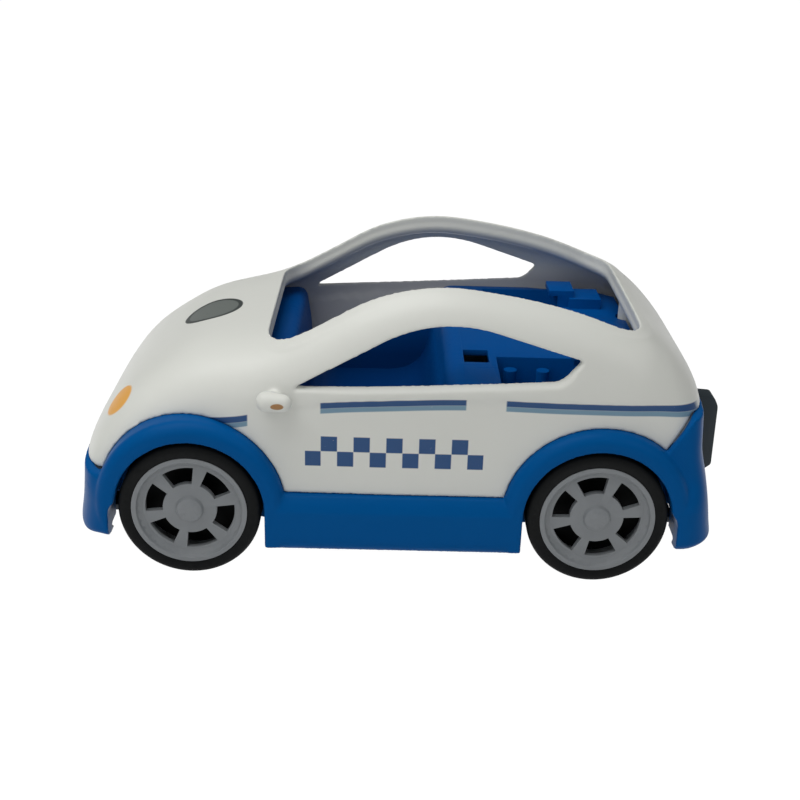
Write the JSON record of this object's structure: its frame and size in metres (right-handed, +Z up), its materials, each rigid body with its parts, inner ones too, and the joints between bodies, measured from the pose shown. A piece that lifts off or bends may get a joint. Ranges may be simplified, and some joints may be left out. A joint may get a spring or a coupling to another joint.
{
  "type": "toy police car",
  "caption": "Open-topped toy police car: white upper shell on a blue lower body, with a seat tub, a rear buffer and spoked wheels on rolling axles.",
  "frame": {"origin": "middle of the car's length and width, on the ground under the tyres", "axes": "+X along the car towards its tail, +Y towards its right side, +Z up"},
  "size_m": [0.2644, 0.1462, 0.1138],
  "materials": {
    "white_shell": "satin white moulding",
    "blue_body": "satin blue moulding",
    "tub": "satin blue moulding",
    "base": "fine grained",
    "buffer": "fine grained",
    "axle": "drawn rod",
    "screw": "plain",
    "rim": "silver grey",
    "tyre": "soft black"
  },
  "bodies": {
    "car_body": {"upper_shell": "white_shell", "lower_body": "blue_body", "cabin_tub": "tub", "base_plate": "base", "rear_buffer": "buffer", "front_axle_keeper": "base", "rear_axle_keeper": "base", "keeper_screws": "screw", "body_screws": "screw"},
    "front_wheelset": {"front_axle": "axle", "rim_front_left": "rim", "rim_front_right": "rim", "tyre_front_left": "tyre", "tyre_front_right": "tyre"},
    "rear_wheelset": {"rear_axle": "axle", "rim_rear_left": "rim", "rim_rear_right": "rim", "tyre_rear_left": "tyre", "tyre_rear_right": "tyre"}
  },
  "joints": [
    {"name": "front_axle_spin", "type": "hinge", "parent": "car_body", "child": "front_wheelset", "pos_m": [-0.08475, 0, 0.0274], "axis": [0, 1, 0], "continuous": true},
    {"name": "rear_axle_spin", "type": "hinge", "parent": "car_body", "child": "rear_wheelset", "pos_m": [0.07225, 0, 0.0274], "axis": [0, 1, 0], "continuous": true}
  ]
}
